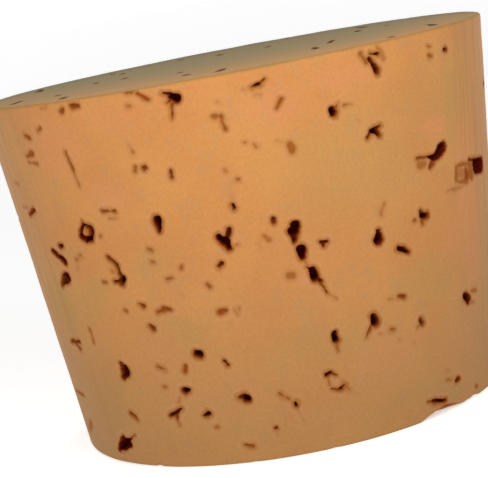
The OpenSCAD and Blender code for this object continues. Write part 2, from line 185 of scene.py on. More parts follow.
# Faint brown marks of the front, too shallow to be pores. A line is as for a pore, and its last number is how
# dark the mark is
FRONT_MARKS = [
    # below the wide rim
    (-44.0, 37.6, 0.4, -42.4, 37.7, 0.4, 0.3),
    (-21.6, 37.9, 0.5, -20.8, 37.9, 0.5, 0.5),
    (-19.3, 37.6, 0.4, -17.4, 36.9, 0.45, 0.6),
    (-22.1, 36.6, 0.5, -21.6, 36.6, 0.5, 0.35),
    (1.8, 36.2, 0.3, 2.4, 36.15, 0.3, 0.3),
    (3.8, 35.65, 0.3, 4.8, 35.5, 0.25, 0.3),
    (-3.8, 35.6, 0.35, -3.4, 35.5, 0.35, 0.25),
    (26.9, 37.3, 0.7, 28.0, 36.5, 0.6, 0.45),
    (31.0, 37.6, 0.9, 32.3, 36.4, 0.9, 0.25),
    (45.1, 35.65, 0.45, 46.3, 35.5, 0.4, 0.45),
    (44.9, 36.6, 0.35, 46.0, 36.4, 0.35, 0.35),
    (-5.1, 34.3, 0.6, -4.7, 34.3, 0.6, 0.4),
    (-3.7, 34.2, 0.35, -3.3, 33.0, 0.45, 0.55),
    (7.5, 33.9, 0.35, 8.9, 34.7, 0.5, 0.55),
    # upper third
    (21.6, 32.95, 0.3, 23.2, 32.9, 0.3, 0.4),
    (-54.4, 32.4, 0.45, -51.2, 32.2, 0.45, 0.35),
    (-23.9, 33.0, 0.45, -23.4, 32.2, 0.6, 0.3),
    (-24.1, 30.4, 0.45, -23.8, 30.8, 0.4, 0.45),
    (-0.2, 31.4, 0.4, 0.2, 31.4, 0.4, 0.3),
    (1.8, 31.1, 0.35, 2.1, 30.8, 0.4, 0.35),
    (6.4, 31.0, 0.3, 8.4, 30.6, 0.4, 0.2),
    (9.1, 30.4, 0.8, 9.3, 29.8, 0.7, 0.4),
    (24.4, 31.4, 0.4, 24.9, 31.2, 0.4, 0.2),
    (-66.5, 30.2, 0.7, -64.0, 30.1, 0.7, 0.2),
    (-5.0, 29.2, 0.45, -4.9, 29.0, 0.4, 0.3),
    (-2.8, 28.15, 0.5, -2.4, 28.1, 0.5, 0.4),
    (-4.1, 27.8, 0.3, -3.7, 27.8, 0.3, 0.2),
    (-4.6, 26.9, 0.25, -4.7, 26.3, 0.4, 0.3),
    (-33.4, 26.2, 0.35, -31.4, 26.1, 0.35, 0.4),
    (-66.0, 27.6, 0.3, -62.5, 27.6, 0.3, 0.4),
    (39.3, 25.5, 1.2, 40.8, 25.4, 1.0, 0.3),
    (-41.3, 25.1, 0.4, -41.0, 24.7, 0.4, 0.35),
    # the ring in front of the hollow on the right, and the line below it
    (52.4, 23.9, 0.9, 51.9, 22.8, 0.9, 0.35),
    (53.4, 24.1, 0.65, 57.8, 23.9, 0.65, 0.38),
    (52.6, 22.5, 0.65, 57.4, 22.2, 0.7, 0.38),
    (56.8, 23.15, 1.0, 57.3, 22.7, 1.2, 0.58),
    (59.3, 23.7, 1.5, 59.5, 22.7, 1.5, 0.42),
    (54.0, 23.3, 1.3, 56.6, 23.1, 1.3, 0.25),
    (47.9, 22.1, 0.5, 54.9, 21.9, 0.5, 0.25),
    # middle
    (-37.5, 24.4, 0.4, -37.1, 24.6, 0.35, 0.35),
    (-25.5, 22.75, 0.6, -25.0, 22.65, 0.65, 0.4),
    (-47.2, 22.2, 0.4, -45.3, 22.6, 0.4, 0.45),
    (0.4, 22.3, 0.8, 1.2, 21.9, 0.8, 0.3),
    (28.3, 22.8, 0.7, 27.2, 21.8, 0.8, 0.25),
    (-6.0, 22.0, 0.35, -5.6, 22.0, 0.3, 0.4),
    (-0.9, 21.8, 0.5, -0.6, 21.2, 0.4, 0.2),
    (-25.5, 21.45, 0.5, -25.1, 21.45, 0.5, 0.35),
    (-48.2, 21.1, 0.4, -47.3, 21.3, 0.4, 0.25),
    (-36.9, 20.9, 0.7, -36.4, 20.7, 0.6, 0.25),
    (-18.9, 20.55, 0.45, -18.7, 20.75, 0.45, 0.5),
    (35.9, 20.3, 0.45, 36.3, 20.3, 0.45, 0.45),
    (-40.5, 19.8, 0.4, -39.3, 19.8, 0.4, 0.4),
    (-22.9, 19.6, 0.45, -21.7, 19.65, 0.5, 0.5),
    (8.0, 19.3, 0.35, 8.6, 18.7, 0.4, 0.4),
    (-13.8, 18.5, 0.5, -13.5, 18.3, 0.55, 0.5),
    (4.2, 18.05, 0.95, 4.8, 18.0, 0.9, 0.35),
    (-20.2, 17.8, 0.5, -19.8, 17.7, 0.4, 0.2),
    # lower third
    (-27.3, 16.4, 0.4, -25.9, 16.5, 0.5, 0.62),
    (-25.6, 16.7, 0.5, -23.8, 16.5, 0.4, 0.62),
    (-36.3, 16.8, 0.5, -35.8, 16.7, 0.5, 0.4),
    (-12.4, 15.7, 0.65, -11.2, 15.8, 0.55, 0.6),
    (-9.2, 15.7, 0.3, -8.7, 15.2, 0.4, 0.45),
    (-8.5, 15.2, 0.4, -8.0, 15.8, 0.3, 0.35),
    (11.9, 15.6, 0.35, 13.8, 14.9, 0.3, 0.4),
    (-50.2, 14.8, 0.45, -50.2, 13.3, 0.45, 0.4),
    (-10.9, 14.5, 0.3, -10.5, 14.5, 0.3, 0.2),
    (26.4, 13.4, 0.5, 27.6, 13.4, 0.5, 0.2),
    (29.3, 13.35, 0.6, 30.3, 13.2, 0.6, 0.45),
    (-59.8, 12.9, 0.7, -58.0, 12.4, 0.6, 0.6),
    (36.5, 11.8, 0.35, 37.0, 11.6, 0.35, 0.2),
    (54.6, 11.1, 0.45, 57.6, 10.8, 0.6, 0.35),
    (-31.0, 10.8, 0.45, -29.5, 10.5, 0.5, 0.5),
    (-24.2, 10.1, 0.45, -23.7, 10.7, 0.45, 0.6),
    (12.2, 10.3, 0.4, 12.3, 9.7, 0.3, 0.45),
    (26.0, 10.4, 0.6, 27.0, 10.3, 0.55, 0.45),
    (23.0, 10.3, 0.4, 23.6, 10.2, 0.4, 0.2),
    (53.8, 10.0, 0.4, 56.0, 9.8, 0.3, 0.3),
    (33.6, 9.8, 0.35, 34.3, 9.9, 0.4, 0.45),
    (28.0, 9.2, 0.45, 28.5, 9.15, 0.4, 0.3),
    (-30.9, 8.65, 0.4, -30.4, 8.65, 0.4, 0.4),
    (32.0, 8.4, 0.5, 32.5, 8.3, 0.4, 0.2),
    (-27.0, 7.6, 0.3, -28.1, 6.9, 0.35, 0.25),
    (8.9, 7.2, 0.35, 9.1, 6.5, 0.3, 0.35),
    (-73.0, 6.8, 0.4, -66.0, 6.7, 0.6, 0.45),
    (12.0, 6.7, 0.3, 12.1, 6.5, 0.3, 0.4),
    (-2.7, 6.6, 0.45, -2.1, 6.4, 0.45, 0.5),
    (-2.0, 6.3, 0.45, -0.9, 5.95, 0.45, 0.55),
    (12.7, 6.0, 0.35, 13.8, 5.5, 0.25, 0.4),
    (-43.9, 5.6, 0.6, -42.4, 5.2, 0.65, 0.5),
    (13.8, 5.5, 0.25, 16.2, 4.7, 0.2, 0.2),
    (0.5, 5.0, 0.35, 1.0, 4.2, 0.25, 0.4),
    (1.0, 4.2, 0.25, 1.6, 3.2, 0.2, 0.2),
    # above the narrow rim
    (41.8, 4.3, 0.35, 42.8, 4.2, 0.3, 0.25),
    (-19.9, 4.1, 0.5, -19.5, 4.1, 0.5, 0.35),
    (41.4, 3.3, 0.4, 43.2, 3.1, 0.4, 0.35),
    (-5.5, 2.8, 0.3, -5.3, 2.5, 0.25, 0.35),
    (-72.5, 2.3, 0.6, -67.5, 3.5, 1.0, 0.3),
    (-12.9, 1.85, 0.45, -12.0, 1.75, 0.5, 0.5),
    (28.6, 1.7, 0.3, 29.2, 1.6, 0.3, 0.3),
    (36.0, 1.5, 0.5, 39.0, 1.2, 0.5, 0.5),
    (53.6, 1.1, 0.6, 54.4, 1.0, 0.5, 0.4),
]

# Soft patches of colour on the front: angle, height, half width, half height, strength. The first pink one is
# a painted highlight along the narrow rim
OLIVE_PATCHES = [
    (25.0, 27.0, 10.0, 7.0, 0.5),
    (14.0, 25.0, 3.0, 5.0, 0.3),
    (41.0, 31.0, 5.0, 4.0, 0.4),
    (54.0, 30.0, 3.5, 5.0, 0.6),
    (-61.0, 17.0, 4.5, 3.5, 0.8),
    (-48.0, 17.5, 3.0, 2.5, 0.4),
    (-42.0, 19.5, 2.5, 1.5, 0.5),
    (-22.0, 14.0, 4.0, 2.0, 0.5),
    (-26.0, 21.0, 3.0, 2.0, 0.4),
    (8.0, 11.0, 7.0, 2.5, 0.3),
    (38.0, 14.0, 4.0, 3.0, 0.4),
    (33.0, 3.0, 5.0, 1.5, 0.4),
    (46.0, 1.6, 3.0, 1.0, 0.8),
    (-50.0, 6.0, 4.0, 4.0, 0.5),
]
PINK_PATCHES_AND_HIGHLIGHT = [
    # A painted highlight: a light streak along the narrow rim
    (-33.0, 0.4, 5.0, 0.5, 0.6),
    (-44.0, 33.5, 4.5, 3.0, 0.6),
    (-33.0, 28.5, 3.0, 2.0, 0.5),
    (-27.0, 35.5, 4.0, 1.5, 0.3),
    (8.0, 34.0, 4.0, 2.0, 0.5),
    (22.0, 35.5, 5.0, 1.5, 0.6),
    (44.0, 28.8, 2.5, 1.0, 0.8),
    (8.0, 17.3, 1.5, 1.0, 0.6),
    (-30.0, 12.0, 3.0, 3.0, 0.4),
    (-20.0, 7.0, 5.0, 3.0, 0.4),
    (26.0, 7.5, 4.0, 2.5, 0.6),
    (10.0, 3.2, 4.0, 1.5, 0.5),
    (47.0, 7.5, 3.0, 3.5, 0.4),
    (57.0, 20.0, 2.5, 12.0, 0.6),
    (48.0, 17.0, 2.5, 2.0, 0.4),
]

# The even spread of the pores that aren't listed, as in the part's source: its steps and its shifts by chance
SPREAD_U, SPREAD_V = 0.7549, 0.5698
SHIFT_U, SHIFT_V = 0.1, 0.2
# Angles that the back and the flanks lie between, and how far pores and marks keep off the rims
BACK = (76.0, 284.0)
RIM_MARGIN, MARK_MARGIN = 2.0, 1.0
# Widths of those pores, of their narrower ends as a share, and their shares
PORE_W, PORE_END, PORE_SHARE = (0.5, 1.1), (0.5, 1.0), (0.6, 1.0)
# The longest channel along the wall, and the least share of its run that counts as going into the wall
CHANNEL_L = 5.0
LEAST_ACROSS = 0.15
# Widths and darknesses of the marks among them
MARK_W, MARK_DARK = (0.3, 0.7), (0.2, 0.6)
# The shortest pore and mark, as a share of the width
PORE_SHORTEST, MARK_SHORTEST = 0.2, 0.3
# Slits in the ends: lengths, widths, the far end's width and the least length as shares, the range of lean in
# degrees, the bare middle's radius, and a seed for each end
SLIT_L, SLIT_W = (0.8, 4.5), (0.35, 0.75)
SLIT_END, SLIT_LEAST = 0.6, 0.3
SLIT_LEAN = 20
BARE_R = 4.0
TOP_SEED, BOTTOM_SEED = 200, 300

# The chip in the narrow rim: its angle, its reach inwards and up, and half its length in degrees round the
# rim. Then how dark its facets are, a painted shade of the hollow, and how far past them that starts and is
# full
CHIP_ANGLE, CHIP_W, CHIP_H, CHIP_HALF = 40.5, 1.6, 1.0, 10.0
CHIP_SHADE, CHIP_EDGE = 0.8, (0.2, 0.6)
# Small knocks out of the rims: angle, height of the rim, width, depth
RIM_KNOCKS = [
    (50.0, 0.0, 1.6, 0.14),
    (53.2, 0.0, 2.2, 0.2),
    (-39.5, 0.0, 1.0, 0.25),
    (-12.0, 0.0, 0.8, 0.08),
    (8.0, 0.0, 1.2, 0.08),
    (-159.0, LENGTH, 1.4, 0.22),
    (-100.0, 0.0, 1.6, 0.25),
    (128.0, LENGTH, 1.2, 0.2),
    (171.0, 0.0, 1.3, 0.22),
    (96.0, LENGTH, 0.9, 0.12),
]
# The share of a knock's width that is fully deep
KNOCK_CORE = 0.1

# ---------------- helpers for numbers

TINY = 1e-9
# Chance, as in the part's source
CHANCE_I, CHANCE_K, CHANCE_SCALE = 78.233, 37.719, 4375.85
# What mixes a cell's place and a seed, and the range of what comes out
MIX_X, MIX_Y, MIX_Z, MIX_SEED, MIX_LAST = 73856093, 19349663, 83492791, 26544357, 1274126177
MIX_BITS, MIX_HALF = 0xFFFFFFFF, 0x7FFFFFFF


def part_of(x):
    """What is left of a number without its whole part."""
    return x - math.floor(x)


def chance(i, k):
    """An irregular number from 0 to 1 for each pair of whole numbers, as in the part's source."""
    return part_of(math.sin(math.radians(i * CHANCE_I + k * CHANCE_K)) * CHANCE_SCALE)


def between(limits, share):
    """The number that lies this share of the way from the first limit to the second."""
    return limits[0] + (limits[1] - limits[0]) * share


def smooth(low, high, x):
    """0 below low, 1 above high and an easy curve between them. Works either way round."""
    t = np.clip((x - low) / (high - low), 0.0, 1.0)
    return t * t * (3.0 - 2.0 * t)


def noise(points, size, seed):
    """Smooth noise from -1 to 1 with features of this size, at points in millimetres."""
    at = points / size
    cell = np.floor(at).astype(np.int64)
    ease = smooth(0.0, 1.0, at - cell)
    total = np.zeros(len(points))
    for corner in itertools.product((0, 1), repeat=3):
        i = cell + corner
        mixed = (i[:, 0] * MIX_X) ^ (i[:, 1] * MIX_Y) ^ (i[:, 2] * MIX_Z) ^ (seed * MIX_SEED)
        mixed = (mixed ^ (mixed >> 13)) * MIX_LAST & MIX_BITS
        value = (mixed ^ (mixed >> 16)) / MIX_HALF - 1.0
        total += np.where(corner, ease, 1.0 - ease).prod(axis=1) * value
    return total


def wrapped(degrees):
    """The same angle between -180 and 180."""
    return (degrees + 180.0) % 360.0 - 180.0


def angles(points):
    """Angles of points round the axis, from the front towards +X."""
    return np.degrees(np.arctan2(points[..., 0], -points[..., 1]))


def outward(angle):
    """The level way out from the axis at this angle."""
    turn = math.radians(angle)
    return np.array([math.sin(turn), -math.cos(turn), 0.0])


# ---------------- the body before its pores


def wall_r(z):
    """Radius of the wall at this height."""
    return BOTTOM_R + (TOP_R - BOTTOM_R) * z / LENGTH


def mm_per_degree(z):
    """Length of a degree round the wall at this height."""
    return math.radians(1.0) * wall_r(z)


TAPER = math.atan2(TOP_R - BOTTOM_R, LENGTH)
# The body's outline drawn in by the rims' radius: the ends' middles and the centres of the rims' rounding
INNER = np.array([
    (0.0, RIM_R),
    (BOTTOM_R - RIM_R / math.cos(TAPER) + RIM_R * math.tan(TAPER), RIM_R),
    (TOP_R - RIM_R / math.cos(TAPER) - RIM_R * math.tan(TAPER), LENGTH - RIM_R),
    (0.0, LENGTH - RIM_R),
])
# Where a normal leans up or down by more than this, the surface belongs to an end
END_LEAN = 0.75


def on_body(points):
    """The nearest points of the smooth body, and its outward normals there."""
    r = np.hypot(points[:, 0], points[:, 1])
    around = points[:, :2] / np.maximum(r, TINY)[:, None]
    p = np.stack([r, points[:, 2]], axis=1)
    best = np.full(len(p), np.inf)
    foot = np.zeros_like(p)
    for a, b in zip(INNER[:-1], INNER[1:], strict=True):
        t = np.clip((p - a) @ (b - a) / ((b - a) @ (b - a)), 0.0, 1.0)
        q = a + t[:, None] * (b - a)
        d = np.linalg.norm(p - q, axis=1)
        nearer = d < best
        best[nearer], foot[nearer] = d[nearer], q[nearer]
    out = (p - foot) / np.maximum(best, TINY)[:, None]
    flat = foot + RIM_R * out
    surface = np.column_stack([around * flat[:, :1], flat[:, 1]])
    normals = np.column_stack([around * out[:, :1], out[:, 1]])
    return surface, normals


# ---------------- pores and marks as strokes

# Length of the mesh's sides along listed pores, marks and other pores. Outside the fine band it grows with
# the distance, up to the coarsest
FRONT_SIDE, MARK_SIDE, BACK_SIDE = 0.13, 0.16, 0.3
COARSEST = 1.3
GROWTH = 0.8
FINE_BAND = 0.1

# How far inside its outline a pore's lining, its own dark fill with painted shade of the hollow, is fully
# dark: nearer to it in wide pores, and nearest on the flanks, where the front looks onto its side
DARK_NARROW, DARK_WIDE, DARK_FLANK = -0.17, -0.13, -0.08
WIDE_R = 0.52
FLANK_ANGLE = 42.0


class Stroke:
    """One stroke of a pore or a mark on a flat map, with a width at each of its two ends."""

    def __init__(self, p, q, w_p, w_q, depth, dark, side):
        self.p, self.q = np.array(p, float), np.array(q, float)
        self.r_p, self.r_q = w_p / 2, w_q / 2
        self.depth, self.dark, self.side = depth, dark, side
        self.lining_and_shade_edge = DARK_WIDE if max(self.r_p, self.r_q) > WIDE_R else DARK_NARROW

    def distance(self, at):
        """How far each point of the map lies outside the stroke's outline, or inside it if negative."""
        along = self.q - self.p
        t = np.clip((at - self.p) @ along / max(along @ along, TINY), 0.0, 1.0)
        off = np.linalg.norm(at - self.p - t[:, None] * along, axis=1)
        return off - (self.r_p + (self.r_q - self.r_p) * t)


def wall_stroke(a_p, z_p, w_p, a_q, z_q, w_q, depth, dark, side):
    """A stroke on the wall. Its map is millimetres round the wall at its own height, and the height."""
    scale = mm_per_degree((z_p + z_q) / 2)
    made = Stroke((a_p * scale, z_p), (a_q * scale, z_q), w_p, w_q, depth, dark, side)
    made.scale = scale
    made.angle = (a_p + a_q) / 2
    if abs(made.angle) > FLANK_ANGLE:
        made.lining_and_shade_edge = DARK_FLANK
    return made


def depth_of(share):
    """Depth of a pore with this share."""
    return share ** DEPTH_POWER * PORE_DEPTH


def listed_strokes():
    """The pores and the marks of the front."""
    pores = [wall_stroke(*ends, depth_of(share), share, FRONT_SIDE) for *ends, share in FRONT_PORES]
    marks = [wall_stroke(*ends, dark * MARK_DEPTH, dark, MARK_SIDE) for *ends, dark in FRONT_MARKS]
    return pores + marks


def generated_pores():
    """The pores of the back and the flanks. Channels run from front to back, so on a flank they are long."""
    made = []
    for i in range(BACK_PORES):
        a = between(BACK, part_of(SPREAD_U * i + SHIFT_U * chance(i, 1)))
        z = RIM_MARGIN + (LENGTH - 2 * RIM_MARGIN) * part_of(SPREAD_V * i + SHIFT_V * chance(i, 2))
        w = between(PORE_W, chance(i, 3) ** 2)
        across = max(abs(math.cos(math.radians(a))), LEAST_ACROSS)
        length = min(CHANNEL_L, w * (PORE_SHORTEST + chance(i, 4)) / across)
        half = length / 2 / mm_per_degree(z)
        rise = w * (chance(i, 5) - 0.5)
        w_far = w * between(PORE_END, chance(i, 6))
        share = between(PORE_SHARE, chance(i, 7))
        ends = (a - half, z - rise, w, a + half, z + rise, w_far)
        made.append(wall_stroke(*ends, depth_of(share), share, BACK_SIDE))
    return made


def generated_marks():
    """Faint marks among the pores of the back and the flanks."""
    made = []
    for i in range(BACK_MARKS):
        a = between(BACK, chance(i, 11))
        z = between((MARK_MARGIN, LENGTH - MARK_MARGIN), chance(i, 12))
        w = between(MARK_W, chance(i, 13) ** 2)
        half = w * (MARK_SHORTEST + chance(i, 14)) / 2 / mm_per_degree(z)
        rise = w * (chance(i, 15) - 0.5)
        dark = between(MARK_DARK, chance(i, 16))
        ends = (a - half, z - rise, w, a + half, z + rise, w)
        made.append(wall_stroke(*ends, dark * MARK_DEPTH, dark, MARK_SIDE))
    return made


def end_strokes(count, end_r, seed):
    """Slits in an end. They follow the channels from front to back."""
    made = []
    for i in range(1, count + 1):
        spread = math.sqrt(part_of(SPREAD_U * i + SHIFT_U * chance(i, seed)))
        r = between((BARE_R, end_r - RIM_MARGIN), spread)
        turn = 2 * math.pi * part_of(SPREAD_V * i + SHIFT_V * chance(i, seed + 1))
        room = min(1.0, (end_r - r) / SLIT_L[1] + SLIT_LEAST)
        length = between(SLIT_L, chance(i, seed + 2) ** 2) * room
        w = between(SLIT_W, chance(i, seed + 3))
        lean = math.radians(SLIT_LEAN * (chance(i, seed + 4) - 0.5))
        middle = np.array([r * math.sin(turn), -r * math.cos(turn)])
        half = length / 2 * np.array([-math.sin(lean), math.cos(lean)])
        made.append(Stroke(middle - half, middle + half, w, w * SLIT_END, PORE_DEPTH, 1.0, BACK_SIDE))
    return made


WALL_STROKES = listed_strokes() + generated_pores() + generated_marks()
TOP_STROKES = end_strokes(TOP_PORES, TOP_R, TOP_SEED)
BOTTOM_STROKES = end_strokes(BOTTOM_PORES, BOTTOM_R, BOTTOM_SEED)

# How far from its outline a stroke matters. Outside it is positive and inside negative, here and below
REACH = 2.5
# Where a pore's wall starts to fall, and its slope's width, at most this share of the stroke's radius
MOUTH = -0.05
SLOPE, SLOPE_SHARE = 0.13, 0.9
# Waves of outlines, pores' floors, the surface, lips and patches: strength, size and seed
RAGGED_COARSE, RAGGED_FINE = (0.14, 0.7, 1), (0.06, 0.25, 2)
FLOOR_MEAN, FLOOR_WAVES = 0.8, (0.2, 0.35, 3)
SURFACE_DEPTH, SURFACE_WAVES = 0.03, (3.0, 4)
LIP_WAVES, LIP_WAVES_LIMITS = (0.9, 6), (-0.5, 0.6)
PATCH_WAVES = (0.35, 2.5, 7)
# Darkness is a soft halo and a core within it. The faintest stroke's core lies deepest in and is strengthened
# most
HALO_SHARE, HALO = 0.35, (0.45, 0.05)
CORE_SHARE, CORE_EDGE = 0.65, 0.04
FAINT_CORE, FAINT_STRENGTH = -0.4, 1.4
# How strong the light lip round a pore is, and where it starts and is full
LIP_STRENGTH, LIP_BAND = 0.6, (0.6, 0.15)
# Where a patch of colour starts and is full, as shares of its half width and half height
PATCH_BAND = (1.3, 0.3)


def waves(points, strength, size, seed):
    """Noise of this strength to either side of 0."""
    return strength * noise(points, size, seed)


def darkness(stroke, d):
    """How dark a stroke makes points that lie this far outside its outline."""
    core_full = between((FAINT_CORE, stroke.lining_and_shade_edge), stroke.dark)
    strength = between((FAINT_STRENGTH, 1.0), stroke.dark) * stroke.dark
    return strength * (HALO_SHARE * smooth(*HALO, d) + CORE_SHARE * smooth(CORE_EDGE, core_full, d))


def field(points, normals):
    """The length of the mesh's sides, depth, darkness and lip at points of the smooth body."""
    ragged = waves(points, *RAGGED_COARSE) + waves(points, *RAGGED_FINE)
    floor = FLOOR_MEAN + waves(points, *FLOOR_WAVES)
    sides = np.full(len(points), COARSEST)
    depth, dark, lip = np.zeros((3, len(points)))

    def lay(strokes, at, rows):
        for s in strokes:
            low = np.minimum(s.p, s.q) - REACH - max(s.r_p, s.r_q)
            high = np.maximum(s.p, s.q) + REACH + max(s.r_p, s.r_q)
            here = at(s)
            near = ((here > low) & (here < high)).all(axis=1)
            if not near.any():
                continue
            k = rows[near]
            d = s.distance(here[near]) + ragged[k]
            sides[k] = np.minimum(sides[k], s.side + GROWTH * np.maximum(np.abs(d) - FINE_BAND, 0.0))
            slope = min(SLOPE, SLOPE_SHARE * min(s.r_p, s.r_q))
            depth[k] = np.maximum(depth[k], s.depth * floor[k] * smooth(MOUTH, MOUTH - slope, d))
            dark[k] = np.maximum(dark[k], darkness(s, d))
            lip[k] = np.maximum(lip[k], s.dark * smooth(*LIP_BAND, d))

    rows = np.flatnonzero(np.abs(normals[:, 2]) < END_LEAN)
    angle = angles(points[rows])

    def unrolled(s):
        return np.column_stack([(wrapped(angle - s.angle) + s.angle) * s.scale, points[rows, 2]])

    lay(WALL_STROKES, unrolled, rows)
    for strokes, way in ((TOP_STROKES, 1.0), (BOTTOM_STROKES, -1.0)):
        rows = np.flatnonzero(normals[:, 2] * way >= END_LEAN)
        lay(strokes, lambda s: points[rows, :2], rows)
    uneven = smooth(*LIP_WAVES_LIMITS, noise(points, *LIP_WAVES))
    return sides, depth, dark, LIP_STRENGTH * lip * uneven


def patches_at(points, patches):
    """How strong the strongest of these patches is at each point of the wall."""
    angle = angles(points)
    wander = waves(points, *PATCH_WAVES)
    found = np.zeros(len(points))
    for a, z, half_w, half_h, strength in patches:
        along = mm_per_degree(z) * wrapped(angle - a)
        out = np.hypot(along / half_w, (points[:, 2] - z) / half_h) + wander
        found = np.maximum(found, strength * smooth(*PATCH_BAND, out))
    return found


# ---------------- the mesh

# The first mesh: points in a ring, rows up the wall and up a rim's rounding, an end's points for each square
# of the spacing, and their gap to its rim in spacings
RING_STEPS = 144
WALL_ROWS, RIM_ROWS = 34, 4
END_POINTS = 3.0
END_GAP = 0.8
# Points of an end that lie nearer than this are joined
JOIN = 1e-6
# Length of the mesh's sides along the chip and in the knocks
FINE_RIM = 0.3
# For each half of a triangle: the two corners that it keeps, in order, and which side lies between them
HALVES = ((2, 0, 2), (1, 2, 1))


def body_outline():
    """Radius and height of each ring, from the narrow end up to the wide end."""
    rims = []
    lean = -math.degrees(TAPER)
    for centre, turn_from, turn_to in ((INNER[1], -90.0, lean), (INNER[2], lean, 90.0)):
        for k in range(RIM_ROWS + 1):
            turn = math.radians(turn_from + (turn_to - turn_from) * k / RIM_ROWS)
            rims.append(centre + RIM_R * np.array([math.cos(turn), math.sin(turn)]))
    low, high = rims[RIM_ROWS], rims[RIM_ROWS + 1]
    wall = [low + (high - low) * k / WALL_ROWS for k in range(1, WALL_ROWS)]
    return rims[:RIM_ROWS + 1] + wall + rims[RIM_ROWS + 1:]


def end_scatter(r):
    """An even scatter of points inside a ring of this radius."""
    spacing = 2 * math.pi * r / RING_STEPS
    count = int((r / spacing) ** 2 * END_POINTS)
    k = np.arange(1, count)
    out, turn = (r - END_GAP * spacing) * np.sqrt(k / count), k * math.pi * (3 - math.sqrt(5))
    return np.column_stack([out * np.sin(turn), -out * np.cos(turn)])


def first_mesh():
    """A plain closed mesh of the body: rings up the rims and the wall, and scattered points in each end."""
    outline = body_outline()
    turns = np.arange(RING_STEPS) * 2 * math.pi / RING_STEPS
    points = np.concatenate([
        np.column_stack([r * np.sin(turns), -r * np.cos(turns), np.full(RING_STEPS, z)])
        for r, z in outline
    ])
    faces = []
    for row in range(len(outline) - 1):
        for k in range(RING_STEPS):
            a, b = row * RING_STEPS + k, row * RING_STEPS + (k + 1) % RING_STEPS
            c, d = b + RING_STEPS, a + RING_STEPS
            faces += [(a, b, c), (a, c, d)] if (row + k) % 2 else [(a, b, d), (b, c, d)]

    for row, upward in ((0, False), (len(outline) - 1, True)):
        ring = np.arange(RING_STEPS) + row * RING_STEPS
        r, z = outline[row]
        inside = end_scatter(r)
        flat = np.concatenate([points[ring, :2], inside])
        made = delaunay_2d_cdt([Vector(p) for p in flat.tolist()], [], [], 0, JOIN)
        name = np.concatenate([ring, len(points) + np.arange(len(inside))])
        points = np.concatenate([points, np.column_stack([inside, np.full(len(inside), z)])])
        for face in made[2]:
            a, b, c = (int(name[made[3][v][0]]) for v in face)
            faces.append((a, b, c) if upward else (a, c, b))
    return points, np.array(faces)


def longest_first(points, faces):
    """Turns each triangle so that its longest side comes first, which is the one that is halved."""
    corners = points[faces]
    sides = np.linalg.norm(np.roll(corners, -1, axis=1) - corners, axis=2)
    turn = (np.arange(3)[None, :] + np.argmax(sides, axis=1)[:, None]) % 3
    return np.take_along_axis(faces, turn, axis=1)


def numbered_sides(points, faces):
    """A key for each side of the mesh from its two points, and each triangle's sides by number."""
    sides = np.stack([faces, np.roll(faces, -1, axis=1)], axis=2)
    ends = np.sort(sides.reshape(-1, 2), axis=1)
    keys, side_of = np.unique(ends[:, 0] * len(points) + ends[:, 1], return_inverse=True)
    return keys, side_of.reshape(-1, 3)


def spread_cuts(cut, side_of):
    """Cuts the first side too of each triangle with another cut side, until that adds none."""
    while True:
        behind = cut[side_of].any(axis=1) & ~cut[side_of[:, 0]]
        if not behind.any():
            return
        cut[side_of[behind, 0]] = True


def halved(faces, middles):
    """The triangles after halving. A side has its middle's number, or -1 where it stays whole."""
    halve = middles[:, 0] >= 0
    f, m = faces[halve], middles[halve]
    made = [faces[~halve]]
    for x, y, side in HALVES:
        twice = m[:, side] >= 0
        made.append(np.column_stack([f[~twice][:, x], f[~twice][:, y], m[~twice][:, 0]]))
        g, n = f[twice], m[twice]
        made.append(np.column_stack([n[:, 0], g[:, x], n[:, side]]))
        made.append(np.column_stack([g[:, y], n[:, 0], n[:, side]]))
    return np.concatenate(made)


def refine(points, faces, wanted_side):
    """Halves triangles from their first side until each is small enough, with no gap between neighbours."""
    faces = longest_first(points, faces)
    wanted = wanted_side(points)
    while True:
        keys, side_of = numbered_sides(points, faces)
        length = np.linalg.norm(points[faces[:, 0]] - points[faces[:, 1]], axis=1)
        cut = np.zeros(len(keys), bool)
        cut[side_of[length > wanted[faces].min(axis=1), 0]] = True
        if not cut.any():
            return points, faces
        spread_cuts(cut, side_of)
        a, b = keys[cut] // len(points), keys[cut] % len(points)
        middle = np.full(len(keys), -1)
        middle[cut] = len(points) + np.arange(cut.sum())
        added = on_body((points[a] + points[b]) / 2)[0]
        points = np.concatenate([points, added])
        wanted = np.concatenate([wanted, wanted_side(added)])
        faces = halved(faces, middle[side_of])


CHIP_FOOT = (BOTTOM_R - CHIP_W) * outward(CHIP_ANGLE)
CHIP_HEAD = wall_r(CHIP_H) * outward(CHIP_ANGLE) + np.array([0.0, 0.0, CHIP_H])


def chip_facet(way):
    """The way out of one of the chip's two facets. They meet in a line from its foot to its head."""
    tip = BOTTOM_R * outward(CHIP_ANGLE + way * CHIP_HALF)
    normal = way * np.cross(tip - CHIP_FOOT, CHIP_HEAD - CHIP_FOOT)
    return normal / np.linalg.norm(normal)


CHIP_FACETS = np.array([chip_facet(-1.0), chip_facet(1.0)])


def past_chip(points):
    """How far points stick out past the chip's nearer facet, and that facet's way out."""
    past = (points - CHIP_FOOT) @ CHIP_FACETS.T
    nearer = np.argmin(past, axis=1)
    return past[np.arange(len(points)), nearer], CHIP_FACETS[nearer]


def knocks():
    """Each knock's middle on the rim, its width and depth, and the way out of the body there."""
    for angle, z, width, depth in RIM_KNOCKS:
        out = outward(angle)
        up = np.array([0.0, 0.0, 1.0 if z > LENGTH / 2 else -1.0])
        yield out * wall_r(z) + np.array([0.0, 0.0, z]), width, depth, (out + up) / math.sqrt(2)


def broken_rims(points):
    """Lays what sticks out past the chip onto it, and presses the knocks into the rims."""
    past, way_out = past_chip(points)
    found = points - np.maximum(past, 0.0)[:, None] * way_out
    for middle, width, depth, out in knocks():
        near = smooth(width / 2, KNOCK_CORE * width, np.linalg.norm(points - middle, axis=1))
        found = found - (depth * near)[:, None] * out
    return found


